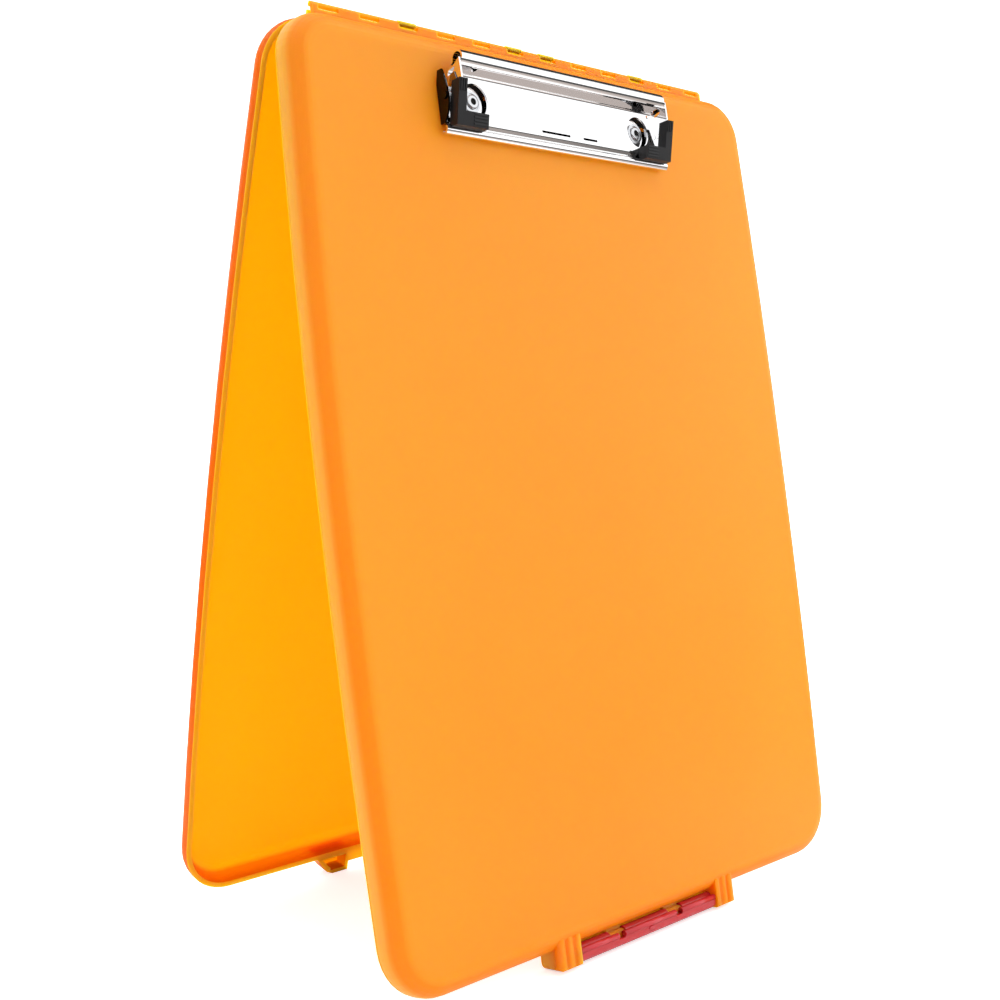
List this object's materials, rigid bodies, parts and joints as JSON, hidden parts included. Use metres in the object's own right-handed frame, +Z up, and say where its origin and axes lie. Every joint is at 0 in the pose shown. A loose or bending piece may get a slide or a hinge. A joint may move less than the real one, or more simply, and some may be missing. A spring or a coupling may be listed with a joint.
{
  "type": "storage clipboard",
  "caption": "Slim clipboard that opens like a case: two shallow moulded trays on a snap hinge, with a flap latch at the foot and a low sprung clip on the front.",
  "frame": {"origin": "middle of the footprint of the standing case, on the floor", "axes": "+X across the trays, +Y from the front tray to the rear tray, +Z up"},
  "size_m": [0.252, 0.1488, 0.3438],
  "materials": {
    "orange_plastic": "translucent satin",
    "red_plastic": "translucent glossy",
    "chrome": "polished",
    "black_grip": "soft matte",
    "steel": "zinc plated"
  },
  "bodies": {
    "front": {"front_shell": "orange_plastic", "clip_base": "chrome", "clip_pin_left": "steel", "clip_pin_right": "steel", "clip_spring_left": "steel", "clip_spring_right": "steel", "rivet_left": "steel", "rivet_right": "steel", "rivet_washer_left": "steel", "rivet_washer_right": "steel"},
    "rear": {"rear_shell": "orange_plastic"},
    "latch": {"latch": "red_plastic"},
    "clip": {"clip_lever": "chrome", "clip_grip_left": "black_grip", "clip_grip_right": "black_grip"}
  },
  "joints": [
    {"name": "case_hinge", "type": "hinge", "parent": "front", "child": "rear", "pos_m": [0, -0.00447, 0.34249], "axis": [1, 0, 0], "range_deg": [-21.71, 158.29]},
    {"name": "latch_hinge", "type": "hinge", "parent": "front", "child": "latch", "pos_m": [0, -0.06891, 0.00465], "axis": [-1, 0, 0], "range_deg": [0, 45]},
    {"name": "clip_hinge", "type": "hinge", "parent": "front", "child": "clip", "pos_m": [0, -0.02371, 0.31512], "axis": [-1, 0, 0], "range_deg": [0, 13], "stiffness_Nm_per_rad": 0.35, "springref_deg": -14.32, "deforming": ["clip_spring_left", "clip_spring_right"]}
  ]
}
